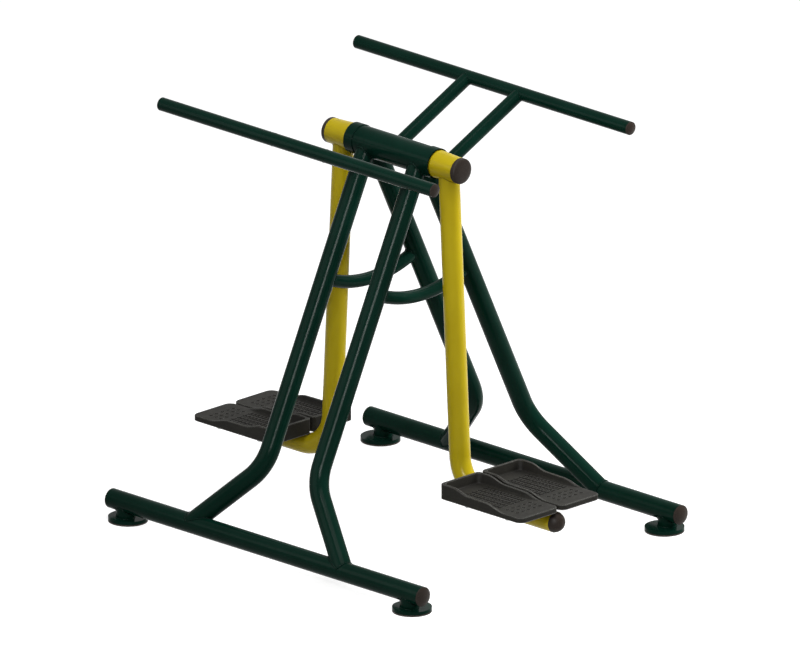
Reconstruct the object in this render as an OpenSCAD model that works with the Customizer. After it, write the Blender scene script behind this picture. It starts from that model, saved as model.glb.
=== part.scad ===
// Two-station pendulum hip swing for an open-air gym.
// Two A-frames on skids carry a fixed axle. A footplate pendulum hangs at each end of
// the axle and swings sideways between a pair of long handlebars.
// Frame: X runs along the axle and the skids, Y across the stance, Z up from the floor.

/* [Skids and feet] */
// Length of each skid tube
skid_l = 1300; // [1200:10:1500]
// Distance between the two skid axes
stance = 1080; // [980:10:1180]
// Outside diameter of the skid tubes
skid_d = 60; // [54:1:66]
// Wall of the skid and leg tubes
frame_wall = 3; // [2:0.5:5]
// Distance from a skid's end to the axis of its foot
foot_inset = 55; // [45:1:120]
// Diameter of a foot's neck
neck_d = 56; // [40:1:58]
// Height of the neck that shows below the skid
neck_h = 15; // [8:1:40]
// Diameter of the foot disc and of its rubber pad
foot_d = 119; // [90:1:150]
// Thickness of the foot disc
disc_t = 10; // [6:1:16]
// Thickness of the rubber pad
pad_t = 5; // [3:0.5:12]
// Distance that the disc sits inward of the neck
foot_shift = 11; // [0:1:20]

/* [Legs] */
// Outside diameter of the leg tubes
leg_d = 60; // [50:1:64]
// Distance between the two A-frames
leg_spacing = 216; // [190:2:260]
// Distance between the two leg feet on one skid
leg_foot_spacing = 638; // [560:2:700]
// Lean of each leg from the vertical, in degrees
lean = 25.5; // [23:0.5:28]
// Distance up the leg from the skid axis to the corner of its bend
corner_rise = 225; // [200:5:280]
// Radius of the leg's bend at its centre line
leg_bend_r = 150; // [110:5:180]
// Distance up the leg from the skid axis to the square end that its cope is cut into
leg_seat = 6; // [4:0.5:10]

/* [Braces, struts and handlebars] */
// Outside diameter of the curved brace in each A-frame
brace_d = 40; // [30:1:48]
// Radius of the brace about the point where the leg axes meet
brace_r = 443; // [360:1:560]
// Wall of the brace, strut and handlebar tubes
slim_wall = 2.5; // [1.5:0.5:4]
// Outside diameter of the struts
strut_d = 40; // [28:1:40]
// Length of a strut from the leg's axis to the handlebar's axis
strut_reach = 408; // [340:1:460]
// Distance down the leg from the meeting point of the axes to the strut
strut_drop = 98; // [92:1:130]
// Outside diameter of the handlebars
bar_d = 41; // [41:1:48]
// Length of a handlebar tube
bar_l = 1140; // [900:10:1300]

/* [Cross tube and collars] */
// Outside diameter of the cross tube over the A-frames
main_d = 89; // [86:1:100]
// Wall of the cross tube
main_wall = 4; // [3:0.5:6]
// Distance of the cross tube's axis below the meeting point of the leg axes
main_drop = 20; // [14:1:24]
// Gap between a leg's side and the collar beside it
collar_gap = 4; // [0.5:0.5:6]
// Length of collar that lies over the end of the cross tube
collar_cover = 8; // [6:1:16]
// Length of collar that reaches out over the hub
collar_reach = 26; // [22:1:34]
// Wall of the collar
collar_wall = 2.5; // [2:0.5:6]
// Thickness of the plate that holds the axle in the cross tube
axle_plate_t = 12; // [8:1:20]

/* [Hub and bearings] */
// Outside diameter of the hub
hub_d = 78; // [74:0.5:80]
// Length of the hub
hub_l = 110; // [104:1:130]
// Gap between the end of the cross tube and the hub
hub_gap = 4; // [2:0.5:6]
// Distance from the hub's inner end to the arm's axis
arm_set = 66; // [60:1:70]
// Swing of each pendulum to either side, in degrees
swing = 30; // [20:1:35]
// Bore of the ball bearings
bearing_bore = 30; // [25:1:32]
// Outside diameter of the ball bearings
bearing_d = 62; // [60:1:64]
// Width of the ball bearings
bearing_w = 16; // [14:1:18]
// Diameter of a bearing ball
ball_d = 9.5; // [8:0.5:10]
// Number of balls in a bearing
ball_count = 9; // [7:1:9]
// Diameter of the axle between the bearings of the two sides
axle_d = 35; // [34:0.5:38]
// Length of the straight rim of the hub's cap
hub_cap_rim = 9; // [6:0.5:12]
// Length of the hub's cap outside the hub, with its rim
hub_cap_h = 19; // [15:1:24]

/* [Pendulum arm] */
// Outside diameter of the arm
arm_d = 63.5; // [54:0.5:66]
// Wall of the arm
arm_wall = 3; // [2:0.5:5]
// Height of the axle above the arm's level run
arm_drop = 1003; // [900:1:1020]
// Outward lean of the arm, in degrees
arm_lean = 3; // [1:0.5:5]
// Radius of the arm's bend at its centre line
arm_bend_r = 122; // [112:1:136]
// Distance that the arm's tube ends short of the footplates
arm_short = 23; // [12:1:60]

/* [Cross plates and bolts] */
// Thickness of the cross plates
plate_t = 7; // [5:0.5:10]
// Width of the cross plates
plate_w = 40; // [30:1:50]
// Depth of the arm's seat in a cross plate
plate_seat = 1; // [0.5:0.1:2]
// Distance from a footplate's middle to its bolts, along the footplate
bolt_dx = 84; // [60:1:100]
// Distance from a footplate's middle to its bolts, across the footplate
bolt_dy = 50; // [36:1:56]
// Diameter of the bolts
bolt_d = 8; // [6:1:10]

/* [Footplates] */
// Length of a footplate
pedal_l = 340; // [320:1:380]
// Width of a footplate
pedal_w = 163; // [140:1:180]
// Gap between the two footplates of a pendulum
pedal_gap = 10; // [6:1:24]
// Height of the rim at the arm
rim_high = 48; // [40:1:60]
// Height of the rim beside the instep
rim_mid = 33.5; // [28:0.5:38]
// Height of the standing surface above the underside
floor_h = 17; // [15:0.5:22]
// Thickness of the standing surface
floor_t = 6; // [4:0.5:8]
// Thickness of the rim and skirt
rim_t = 8; // [6:0.5:12]
// Corner radius at the arm
toe_r = 12; // [9:1:30]
// Corner radius at the free end
heel_r = 22; // [14:1:40]
// Thickness of the ribs under the footplate
rib_t = 4; // [3:0.5:6]
// Height of the tread blocks
tread_h = 1.6; // [1:0.2:3]
// Rows of tread blocks along a footplate
tread_rows = 12; // [6:1:12]
// Blocks in one row of the tread
tread_columns = 5; // [3:1:6]
// Distance between two rows of the tread
tread_pitch = 14; // [12:0.5:15]
// Distance from the arm end to the first row of the tread
tread_start = 66; // [60:1:68]
// Rows of round dots beyond the tread blocks
dot_rows = 3; // [1:1:3]
// Distance between two rows of dots
dot_pitch = 21; // [18:1:24]
// Diameter of a dot
dot_d = 11; // [8:0.5:14]

/* [Caps] */
// Thickness of the straight rim of an end cap
cap_rim = 2.5; // [1.5:0.5:5]
// Height of the dome of a skid's or handlebar's cap, as a share of its diameter
cap_dome = 0.13; // [0.08:0.01:0.3]
// Height of the dome of an arm's cap, as a share of its diameter
arm_cap_dome = 0.42; // [0.2:0.01:0.46]
// Width of the flat edge around the dome
cap_edge = 0.5; // [0.3:0.1:2]
// Length of an end cap's plug
cap_plug = 22; // [12:1:40]

/* [Hidden] */
$fn = 64;

LEFT = -1;
RIGHT = 1;
FRONT = -1;
REAR = 1;
SIDES = [LEFT, RIGHT];
ENDS = [FRONT, REAR];

green = "#17352d";
yellow = "#c8bb28";
cap_grey = "#4c4542";
plate_grey = "#48453f";
rubber = "#3a3634";
steel = "#a9adb0";

// Overrun of a cut past the face that it opens
over = 1;
// Thinning of a bent tube's wall on each face, and its lap into the straight runs
bend_thinning = 0.05;
bend_lap = 0.2;
// Clearance of a plug in its tube, and of a bolt in its hole, all round
plug_clear = 0.2;
hole_clear = 0.5;

// Heights and stations of the fixed frame
skid_z = pad_t + disc_t + neck_h + skid_d / 2;
skid_y = stance / 2;
foot_x = skid_l / 2 - foot_inset;
leg_x = leg_spacing / 2;
leg_foot_x = leg_foot_spacing / 2;
kick = atan((leg_foot_x - leg_x) / corner_rise);
apex_z = skid_z + skid_y / tan(lean);
axis_z = apex_z - main_drop;
leg_run = skid_y / sin(lean);
bar_y = strut_drop * sin(lean) + strut_reach * cos(lean);
bar_z = apex_z - strut_drop * cos(lean) + strut_reach * sin(lean);
main_half = leg_x + leg_d / 2 + collar_gap + collar_cover;

// Stations along the axle, all measured outward from the middle
hub_x0 = main_half + hub_gap;
hub_x1 = hub_x0 + hub_l;
clip_t = 2;
clip_depth = 1.5;
clip_height = 4.5;
clip_open = 40;
clip_wall = 2;
inner_bearing_x = hub_x0 + clip_wall + clip_t;
cap_recess = 9;
cap_depth = 6;
outer_bearing_x = hub_x1 - cap_recess - clip_t - bearing_w;
clip_slack = 0.2;
axle_tail = 2;
axle_end = outer_bearing_x + bearing_w + clip_t + axle_tail;
shoulder = 4;

// Inside of a bearing
pitch_r = (bearing_bore + bearing_d) / 4;
race_play = 0.04;
land = 1.9;
seal_t = 1.2;
seal_inset = 0.5;
seal_play = 0.06;

// Lug of the hub and the two stops in the collar that end its swing
lug_arc = 16;
stop_arc = 20;
stop_play = 1;
lug_inset = 2;
stop_inset = 6;
lug_x0 = hub_x0 + lug_inset;
lug_x1 = main_half + collar_reach - stop_inset;
lug_clear = 0.6;

// Pendulum
arm_x = hub_x0 + arm_set;
arm_z = axis_z - arm_drop;
arm_bend = 90 - arm_lean;
arm_tangent = arm_bend_r * tan(arm_bend / 2);
arm_corner_x = arm_x + arm_drop * tan(arm_lean);
arm_bend_x = arm_corner_x + arm_tangent;
pedal_z = arm_z + arm_d / 2 - plate_seat + plate_t;

// Footplates: their rounded corners at the arm lie just clear of the inside of its bend
toe_clear = 0.5;
toe_lap = toe_r * (1 - cos(45));
toe_y = pedal_gap / 2 + toe_lap;
bend_inner_r = arm_bend_r - sqrt((arm_d / 2) ^ 2 - toe_y ^ 2);
bend_rise = arm_z + arm_bend_r - pedal_z;
pedal_x0 = arm_bend_x - sqrt(max(bend_inner_r ^ 2 - bend_rise ^ 2, 0)) + toe_clear - toe_lap;
pedal_x1 = pedal_x0 + pedal_l;
pedal_mid_x = pedal_x0 + pedal_l / 2;
pedal_y = (pedal_w + pedal_gap) / 2;
arm_end_x = pedal_x1 - arm_short;
plate_edge = 6;
plate_half = pedal_y + bolt_dy + bolt_d + plate_edge;

// Bolts
washer_d = 2 * bolt_d;
washer_t = bolt_d / 5;
head_flats = 13 / 8 * bolt_d;
head_h = 2 / 3 * bolt_d;
boss_d = 5 / 2 * bolt_d;
boss_top = 3;
thread_depth = floor_h - boss_top;
point_clear = 1;

// Rim of the footplate: lengths along it, from the arm outward
rim_s = [0, 0.125, 0.34, 0.55, 0.80, 1];
rim_steps = 12;
instep_drop = 1;
instep_h = rim_mid - instep_drop;

// Tread block's size along and across the footplate, and the tread's distance from the rim
tread_block = [7, 15];
tread_margin = 15;
// Distance from the place of one more row of blocks to the first row of dots
dot_gap = 16;
dot_start = tread_start + tread_rows * tread_pitch + dot_gap;

function ease(t) = (1 - cos(180 * t)) / 2;
function mix(a, b, t) = a + (b - a) * t;
// Height of the rim at share s of the footplate's length
function rim_at(s) =
    s < rim_s[1] ? rim_high :
    s < rim_s[2] ? mix(rim_high, rim_mid, ease((s - rim_s[1]) / (rim_s[2] - rim_s[1]))) :
    s < rim_s[3] ? mix(rim_mid, instep_h, (s - rim_s[2]) / (rim_s[3] - rim_s[2])) :
    s < rim_s[4] ? mix(instep_h, floor_h, ease((s - rim_s[3]) / (rim_s[4] - rim_s[3]))) :
    floor_h;
rim_points = [
    for (part = [1, 3]) for (i = [0 : rim_steps])
        mix(rim_s[part], rim_s[part + 1], i / rim_steps)
];

// Places what is drawn at +X, +Y in the quarter that is asked for
module quarter(side, end) {
    mirror([side < 0 ? 1 : 0, 0, 0]) mirror([0, end < 0 ? 1 : 0, 0]) children();
}

// Turns what is drawn along +Z so that it lies along +X
module along_x() {
    rotate([0, 90, 0]) children();
}

module rod_x(x0, x1, d) {
    translate([x0, 0, 0]) along_x() cylinder(h = x1 - x0, d = d);
}

module tube_x(x0, x1, d, bore) {
    difference() {
        rod_x(x0, x1, d);
        rod_x(x0 - over, x1 + over, bore);
    }
}

// Ring of a tube's section
module ring(d, wall) {
    difference() {
        circle(d = d);
        circle(d = d - 2 * wall);
    }
}

module tube(l, d, wall) {
    difference() {
        cylinder(h = l, d = d);
        translate([0, 0, -over]) cylinder(h = l + 2 * over, d = d - 2 * wall);
    }
}

// Tube that starts up +Z, bends towards +X and runs on straight. Bending draws the wall
// thinner, so each end of the bend lies just inside the wall of the straight run beside it
module bent_tube(d, wall, r, a, l1, l2) {
    lap = bend_lap / r * 180 / PI;
    tube(l1, d, wall);
    translate([r, 0, l1]) rotate([90, 0, 0]) rotate([0, 0, 180 - a - lap])
        rotate_extrude(angle = a + 2 * lap) translate([r, 0])
            ring(d - 2 * bend_thinning, wall - 2 * bend_thinning);
    translate([r * (1 - cos(a)), 0, l1 + r * sin(a)]) rotate([0, a, 0]) tube(l2, d, wall);
}

// Domed end cap with a plug, its seat on z = 0 and its dome up. The dome's height is the
// given share of its diameter
module end_cap(d, wall, share) {
    dome = share * d;
    dome_r = ((d / 2 - cap_edge) ^ 2 + dome ^ 2) / (2 * dome);
    plug_d = d - 2 * wall - 2 * plug_clear;
    cylinder(h = cap_rim, d = d);
    translate([0, 0, cap_rim]) intersection() {
        cylinder(h = dome + over, d = d);
        translate([0, 0, dome - dome_r]) sphere(r = dome_r);
    }
    difference() {
        translate([0, 0, -cap_plug]) cylinder(h = cap_plug, d = plug_d);
        translate([0, 0, -cap_plug - over]) cylinder(h = cap_plug + over, d = plug_d - 2 * cap_rim);
    }
}

// Skids, their caps and feet
module skid_at(end) {
    translate([0, end * skid_y, skid_z]) children();
}

module skid(end) {
    color(green) skid_at(end) tube_x(-skid_l / 2, skid_l / 2, skid_d, skid_d - 2 * frame_wall);
}

module skid_cap(side, end) {
    color(cap_grey) quarter(side, end)
        translate([skid_l / 2, skid_y, skid_z]) along_x() end_cap(skid_d, frame_wall, cap_dome);
}

module foot(side, end) {
    color(green) quarter(side, end) difference() {
        union() {
            translate([foot_x, skid_y - foot_shift, pad_t]) cylinder(h = disc_t, d = foot_d);
            translate([foot_x, skid_y, pad_t]) cylinder(h = skid_z - pad_t, d = neck_d);
        }
        skid_at(REAR) rod_x(-skid_l / 2, skid_l / 2, skid_d);
    }
}

module foot_pads() {
    color(rubber) for (side = SIDES) for (end = ENDS)
        quarter(side, end) translate([foot_x, skid_y - foot_shift, 0]) cylinder(h = pad_t, d = foot_d);
}

// Legs: each lies in one leaning plane, in which its foot is kicked outward
module in_leg_plane() {
    translate([0, skid_y, skid_z]) rotate([lean, 0, 0]) children();
}

module leg(side, end) {
    tangent = leg_bend_r * tan(kick / 2);
    lower = corner_rise / cos(kick) - tangent;
    upper = leg_run - corner_rise - tangent;
    color(green) quarter(side, end) difference() {
        in_leg_plane() translate([leg_foot_x, 0, 0]) rotate([0, -kick, 0])
            translate([0, 0, leg_seat])
                bent_tube(leg_d, frame_wall, leg_bend_r, kick, lower - leg_seat, upper);
        skid_at(REAR) rod_x(-skid_l / 2, skid_l / 2, skid_d);
        main_rod();
        half_behind();
    }
}

// The front half of space, which the rear leg stays out of
module half_behind() {
    translate([-main_half, -main_d, axis_z - main_d]) cube([2 * main_half, main_d, 2 * main_d]);
}

module leg_rod() {
    in_leg_plane() translate([leg_x, 0, 0]) cylinder(h = leg_run, d = leg_d);
}

module main_rod() {
    translate([0, 0, axis_z]) rod_x(-main_half, main_half, main_d);
}

// Curved brace of one A-frame, about the point where the leg axes meet
module brace(side) {
    color(green) quarter(side, REAR) difference() {
        translate([leg_x, 0, apex_z]) rotate([0, 90, 0]) rotate([0, 0, -lean]) difference() {
            rotate_extrude(angle = 2 * lean) translate([brace_r, 0]) circle(d = brace_d);
            rotate([0, 0, -over]) rotate_extrude(angle = 2 * (lean + over))
                translate([brace_r, 0]) circle(d = brace_d - 2 * slim_wall);
        }
        for (end = ENDS) quarter(RIGHT, end) leg_rod();
    }
}

// Struts and handlebars
module bar_at(end) {
    translate([0, end * bar_y, bar_z]) children();
}

module strut(side, end) {
    color(green) quarter(side, end) difference() {
        translate([leg_x, strut_drop * sin(lean), apex_z - strut_drop * cos(lean)])
            rotate([lean - 90, 0, 0]) difference() {
                cylinder(h = strut_reach, d = strut_d);
                translate([0, 0, -over]) cylinder(h = strut_reach + 2 * over, d = strut_d - 2 * slim_wall);
            }
        leg_rod();
        bar_at(REAR) rod_x(-bar_l / 2, bar_l / 2, bar_d);
    }
}

module handlebar(end) {
    color(green) bar_at(end) tube_x(-bar_l / 2, bar_l / 2, bar_d, bar_d - 2 * slim_wall);
}

module handlebar_caps(end) {
    color(cap_grey) for (side = SIDES)
        quarter(side, end) translate([bar_l / 2, bar_y, bar_z]) along_x()
            end_cap(bar_d, slim_wall, cap_dome);
}

// Cross tube with the plates and collars at its ends
module at_axis(side) {
    quarter(side, REAR) translate([0, 0, axis_z]) children();
}

module main_tube() {
    color(green) at_axis(RIGHT) tube_x(-main_half, main_half, main_d, main_d - 2 * main_wall);
}

module axle_plate(side) {
    color(green) at_axis(side)
        tube_x(main_half - axle_plate_t, main_half, main_d - 2 * main_wall, axle_d);
}

// Part of a ring about the axle: radii r0 to r1, stations x0 to x1, arc centred on angle mid
// from straight up
module arc_block(x0, x1, r0, r1, mid, arc) {
    translate([x0, 0, 0]) along_x() rotate([0, 0, 180 + mid - arc / 2])
        rotate_extrude(angle = arc) translate([r0, 0]) square([r1 - r0, x1 - x0]);
}

module collar(side) {
    stop_mid = lug_arc / 2 + swing + stop_play + stop_arc / 2;
    stop_r = (main_d + collar_wall) / 2;
    color(green) at_axis(side) {
        tube_x(main_half - collar_cover, main_half + collar_reach, main_d + 2 * collar_wall, main_d);
        for (turn = [-1, 1])
            arc_block(lug_x0, lug_x1, hub_d / 2 + lug_clear, stop_r, turn * stop_mid, stop_arc);
    }
}

// Axle with a shoulder and a clip groove at each end
module axle() {
    groove_x = outer_bearing_x + bearing_w;
    color(steel) at_axis(RIGHT) {
        rod_x(-inner_bearing_x, inner_bearing_x, axle_d);
        for (side = SIDES) quarter(side, REAR) {
            rod_x(inner_bearing_x, groove_x, bearing_bore);
            rod_x(groove_x, groove_x + clip_t, bearing_bore - 2 * clip_depth);
            rod_x(groove_x + clip_t, axle_end, bearing_bore);
        }
    }
}

// Open ring about the axle, with its gap on top
module clip(x0, r0, r1) {
    arc_block(x0, x0 + clip_t - clip_slack, r0, r1, 180, 360 - clip_open);
}

module axle_circlips() {
    r = bearing_bore / 2 - clip_depth;
    color(steel) for (side = SIDES) at_axis(side) clip(outer_bearing_x + bearing_w, r, r + clip_height);
}

module spacer(side) {
    color(steel) at_axis(side)
        tube_x(inner_bearing_x + bearing_w, outer_bearing_x, bearing_bore + 2 * shoulder, bearing_bore);
}

// Ball bearings
module bearings_at(side) {
    at_axis(side) for (x = [inner_bearing_x, outer_bearing_x]) translate([x, 0, 0]) children();
}

// Ring of a bearing between two radii, with the balls' groove cut around it
module race(r0, r1) {
    along_x() difference() {
        cylinder(h = bearing_w, r = r1);
        translate([0, 0, -over]) cylinder(h = bearing_w + 2 * over, r = r0);
        translate([0, 0, bearing_w / 2]) rotate_extrude()
            translate([pitch_r, 0]) circle(d = ball_d + 2 * race_play);
    }
}

module inner_races(side) {
    color(steel) bearings_at(side) race(bearing_bore / 2, pitch_r - land);
}

module outer_races(side) {
    color(steel) bearings_at(side) race(pitch_r + land, bearing_d / 2);
}

module balls(side) {
    color(steel) bearings_at(side) for (i = [0 : ball_count - 1])
        rotate([i * 360 / ball_count, 0, 0]) translate([bearing_w / 2, 0, pitch_r]) sphere(d = ball_d);
}

module seals(side) {
    color(rubber) bearings_at(side) for (x = [seal_inset, bearing_w - seal_inset - seal_t])
        tube_x(x, x + seal_t, 2 * (pitch_r + land), 2 * (pitch_r - land + seal_play));
}

// Hub with two bearing seats, clip grooves and the lug that ends the swing
module hub(side) {
    seat_inner = inner_bearing_x + bearing_w;
    seat_outer = outer_bearing_x + bearing_w;
    color(yellow) at_axis(side) {
        difference() {
            rod_x(hub_x0, hub_x1, hub_d);
            rod_x(hub_x0 - over, seat_inner, bearing_d);
            rod_x(seat_inner - over, outer_bearing_x + over, bearing_d - 2 * shoulder);
            rod_x(outer_bearing_x, hub_x1 + over, bearing_d);
            rod_x(inner_bearing_x - clip_t, inner_bearing_x, bearing_d + 2 * clip_depth);
            rod_x(seat_outer, seat_outer + clip_t, bearing_d + 2 * clip_depth);
        }
        arc_block(lug_x0, lug_x1, hub_d / 2 - over, main_d / 2 - lug_clear, 0, lug_arc);
    }
}

module hub_circlips(side) {
    r = bearing_d / 2 + clip_depth;
    color(steel) at_axis(side) {
        clip(inner_bearing_x - clip_t + clip_slack, r - clip_height, r);
        clip(outer_bearing_x + bearing_w, r - clip_height, r);
    }
}

// Cap of the hub: a cup with a rounded brim, plugged into the hub's bore
module hub_cap(side) {
    brim_r = hub_cap_h - hub_cap_rim;
    plug_d = bearing_d - 2 * plug_clear;
    color(cap_grey) at_axis(side) translate([hub_x1, 0, 0]) along_x() {
        cylinder(h = hub_cap_rim, d = hub_d);
        translate([0, 0, hub_cap_rim]) rotate_extrude() {
            square([hub_d / 2 - brim_r, brim_r]);
            intersection() {
                translate([hub_d / 2 - brim_r, 0]) circle(r = brim_r);
                square([hub_d / 2, brim_r]);
            }
        }
        difference() {
            translate([0, 0, -cap_depth]) cylinder(h = cap_depth, d = plug_d);
            translate([0, 0, -cap_depth - over]) cylinder(h = cap_depth + over, d = plug_d - 2 * cap_rim);
        }
    }
}

// Arm: one tube that hangs from the hub and bends out under the footplates
module arm(side) {
    run_down = arm_drop / cos(arm_lean) - arm_tangent;
    color(yellow) at_axis(side) difference() {
        translate([arm_x, 0, 0]) rotate([0, 180 - arm_lean, 0]) mirror([1, 0, 0])
            bent_tube(arm_d, arm_wall, arm_bend_r, arm_bend, run_down, arm_end_x - arm_bend_x);
        rod_x(hub_x0, hub_x1, hub_d);
    }
}

module arm_cap(side) {
    color(cap_grey) quarter(side, REAR)
        translate([arm_end_x, 0, arm_z]) along_x() end_cap(arm_d, arm_wall, arm_cap_dome);
}

module bolts_of(end) {
    for (dx = [-bolt_dx, bolt_dx]) for (dy = [-bolt_dy, bolt_dy])
        translate([pedal_mid_x + dx, end * pedal_y + dy, pedal_z]) children();
}

module cross_plates(side) {
    color(yellow) quarter(side, REAR) for (dx = [-bolt_dx, bolt_dx]) difference() {
        translate([pedal_mid_x + dx - plate_w / 2, -plate_half, pedal_z - plate_t])
            cube([plate_w, 2 * plate_half, plate_t]);
        translate([0, 0, arm_z]) rod_x(arm_bend_x, arm_end_x, arm_d);
        for (end = ENDS) bolts_of(end) translate([0, 0, -plate_t - over])
            cylinder(h = plate_t + 2 * over, d = bolt_d + 2 * hole_clear);
    }
}

module footplate_bolts(side) {
    color(steel) quarter(side, REAR) for (end = ENDS) bolts_of(end) {
        translate([0, 0, -plate_t - washer_t]) difference() {
            cylinder(h = washer_t, d = washer_d);
            translate([0, 0, -over]) cylinder(h = washer_t + 2 * over, d = bolt_d + 2 * plug_clear);
        }
        translate([0, 0, -plate_t - washer_t - head_h])
            cylinder(h = head_h, d = head_flats / cos(30), $fn = 6);
        translate([0, 0, -plate_t - washer_t])
            cylinder(h = plate_t + washer_t + thread_depth - point_clear, d = bolt_d);
    }
}

// Outline of a footplate seen from above, from the arm end at x = 0, drawn in by inset
module footplate_plan(inset) {
    l = pedal_l - 2 * inset;
    w = pedal_w - 2 * inset;
    rt = max(toe_r - inset, 1);
    rh = heel_r - inset;
    translate([inset, -w / 2]) {
        for (y = [rt, w - rt]) translate([rt, y]) circle(r = rt);
        for (y = [rh, w - rh]) translate([l - rh, y]) circle(r = rh);
        translate([0, rt]) square([rt, w - 2 * rt]);
        translate([rt, 0]) square([l - rt - rh, w]);
        translate([l - rh, rh]) square([rh, w - 2 * rh]);
    }
}

// Footplate seen from the side: the rim falls in two easy steps to the standing surface
module footplate_profile() {
    polygon(concat(
        [[0, 0], [0, rim_high]],
        [for (s = rim_points) [s * pedal_l, rim_at(s)]],
        [[pedal_l, floor_h], [pedal_l, 0]]
    ));
}

// Blocks and dots of the tread, in rows across the standing surface
module treads() {
    span = pedal_w - 2 * rim_t - 2 * tread_margin;
    for (col = [0 : tread_columns - 1])
        translate([0, mix(-span / 2, span / 2, (col + 0.5) / tread_columns)]) {
            for (row = [0 : tread_rows - 1])
                translate([tread_start + row * tread_pitch, 0]) square(tread_block, center = true);
            for (row = [0 : dot_rows - 1])
                translate([dot_start + row * dot_pitch, 0]) circle(d = dot_d);
        }
}

// Ribs and bosses under the standing surface
module footplate_ribs() {
    for (y = [-bolt_dy, 0, bolt_dy]) translate([0, y - rib_t / 2]) square([pedal_l, rib_t]);
    for (x = [-bolt_dx, 0, bolt_dx])
        translate([pedal_l / 2 + x - rib_t / 2, -pedal_w / 2]) square([rib_t, pedal_w]);
    for (x = [-bolt_dx, bolt_dx]) for (y = [-bolt_dy, bolt_dy])
        translate([pedal_l / 2 + x, y]) circle(d = boss_d);
}

module footplate(side, end) {
    color(plate_grey) quarter(side, REAR) translate([pedal_x0, end * pedal_y, pedal_z]) {
        difference() {
            intersection() {
                linear_extrude(rim_high) footplate_plan(0);
                translate([0, pedal_w / 2, 0]) rotate([90, 0, 0])
                    linear_extrude(pedal_w) footplate_profile();
            }
            translate([0, 0, floor_h]) linear_extrude(rim_high) footplate_plan(rim_t);
            translate([0, 0, -over]) linear_extrude(floor_h - floor_t + over) difference() {
                footplate_plan(rim_t);
                footplate_ribs();
            }
            translate([-pedal_x0, -end * pedal_y, -pedal_z]) bolts_of(end)
                translate([0, 0, -over]) cylinder(h = thread_depth + over, d = bolt_d);
        }
        translate([0, 0, floor_h]) linear_extrude(tread_h) treads();
    }
}

skid(FRONT);  // front_skid
skid(REAR);  // rear_skid
skid_cap(LEFT, FRONT);  // front_left_skid_cap
skid_cap(RIGHT, FRONT);  // front_right_skid_cap
skid_cap(LEFT, REAR);  // rear_left_skid_cap
skid_cap(RIGHT, REAR);  // rear_right_skid_cap
foot(LEFT, FRONT);  // front_left_foot
foot(RIGHT, FRONT);  // front_right_foot
foot(LEFT, REAR);  // rear_left_foot
foot(RIGHT, REAR);  // rear_right_foot
foot_pads();
leg(LEFT, FRONT);  // front_left_leg
leg(RIGHT, FRONT);  // front_right_leg
leg(LEFT, REAR);  // rear_left_leg
leg(RIGHT, REAR);  // rear_right_leg
brace(LEFT);  // left_brace
brace(RIGHT);  // right_brace
strut(LEFT, FRONT);  // front_left_strut
strut(RIGHT, FRONT);  // front_right_strut
strut(LEFT, REAR);  // rear_left_strut
strut(RIGHT, REAR);  // rear_right_strut
handlebar(FRONT);  // front_handlebar
handlebar(REAR);  // rear_handlebar
handlebar_caps(FRONT);  // front_handlebar_caps
handlebar_caps(REAR);  // rear_handlebar_caps
main_tube();
axle_plate(LEFT);  // left_axle_plate
axle_plate(RIGHT);  // right_axle_plate
collar(LEFT);  // left_collar
collar(RIGHT);  // right_collar
axle();
inner_races(LEFT);  // left_inner_races
inner_races(RIGHT);  // right_inner_races
spacer(LEFT);  // left_spacer
spacer(RIGHT);  // right_spacer
axle_circlips();
hub(LEFT);  // left_hub
outer_races(LEFT);  // left_outer_races
balls(LEFT);  // left_balls
seals(LEFT);  // left_seals
hub_circlips(LEFT);  // left_hub_circlips
hub_cap(LEFT);  // left_hub_cap
arm(LEFT);  // left_arm
arm_cap(LEFT);  // left_arm_cap
cross_plates(LEFT);  // left_cross_plates
footplate(LEFT, FRONT);  // left_front_footplate
footplate(LEFT, REAR);  // left_rear_footplate
footplate_bolts(LEFT);  // left_footplate_bolts
hub(RIGHT);  // right_hub
outer_races(RIGHT);  // right_outer_races
balls(RIGHT);  // right_balls
seals(RIGHT);  // right_seals
hub_circlips(RIGHT);  // right_hub_circlips
hub_cap(RIGHT);  // right_hub_cap
arm(RIGHT);  // right_arm
arm_cap(RIGHT);  // right_arm_cap
cross_plates(RIGHT);  // right_cross_plates
footplate(RIGHT, FRONT);  // right_front_footplate
footplate(RIGHT, REAR);  // right_rear_footplate
footplate_bolts(RIGHT);  // right_footplate_bolts
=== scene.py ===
import math

import bpy
import numpy as np
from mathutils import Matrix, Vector


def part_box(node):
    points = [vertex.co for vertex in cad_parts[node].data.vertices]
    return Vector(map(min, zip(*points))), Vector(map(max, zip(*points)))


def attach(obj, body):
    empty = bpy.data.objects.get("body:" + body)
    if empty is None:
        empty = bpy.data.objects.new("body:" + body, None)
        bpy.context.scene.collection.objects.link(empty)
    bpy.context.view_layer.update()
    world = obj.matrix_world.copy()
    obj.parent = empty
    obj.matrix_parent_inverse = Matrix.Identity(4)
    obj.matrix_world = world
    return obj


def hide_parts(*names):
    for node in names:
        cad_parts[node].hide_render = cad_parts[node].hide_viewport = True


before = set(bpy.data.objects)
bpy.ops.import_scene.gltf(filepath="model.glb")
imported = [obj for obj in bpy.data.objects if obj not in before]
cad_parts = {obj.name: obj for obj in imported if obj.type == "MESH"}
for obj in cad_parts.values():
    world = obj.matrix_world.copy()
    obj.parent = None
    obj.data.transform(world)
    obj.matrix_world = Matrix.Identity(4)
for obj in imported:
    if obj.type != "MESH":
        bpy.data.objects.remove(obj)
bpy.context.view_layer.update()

MM = 0.001
LEFT, RIGHT = SIDES = (-1, 1)
FRONT, REAR = ENDS = (-1, 1)
SIDE_NAME = {LEFT: "left", RIGHT: "right"}
END_NAME = {FRONT: "front", REAR: "rear"}
PENDULUM = {LEFT: "left_pendulum", RIGHT: "right_pendulum"}
FIXED = "frame"

# ---------------------------------------------------------------- lengths, in millimetres

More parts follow.
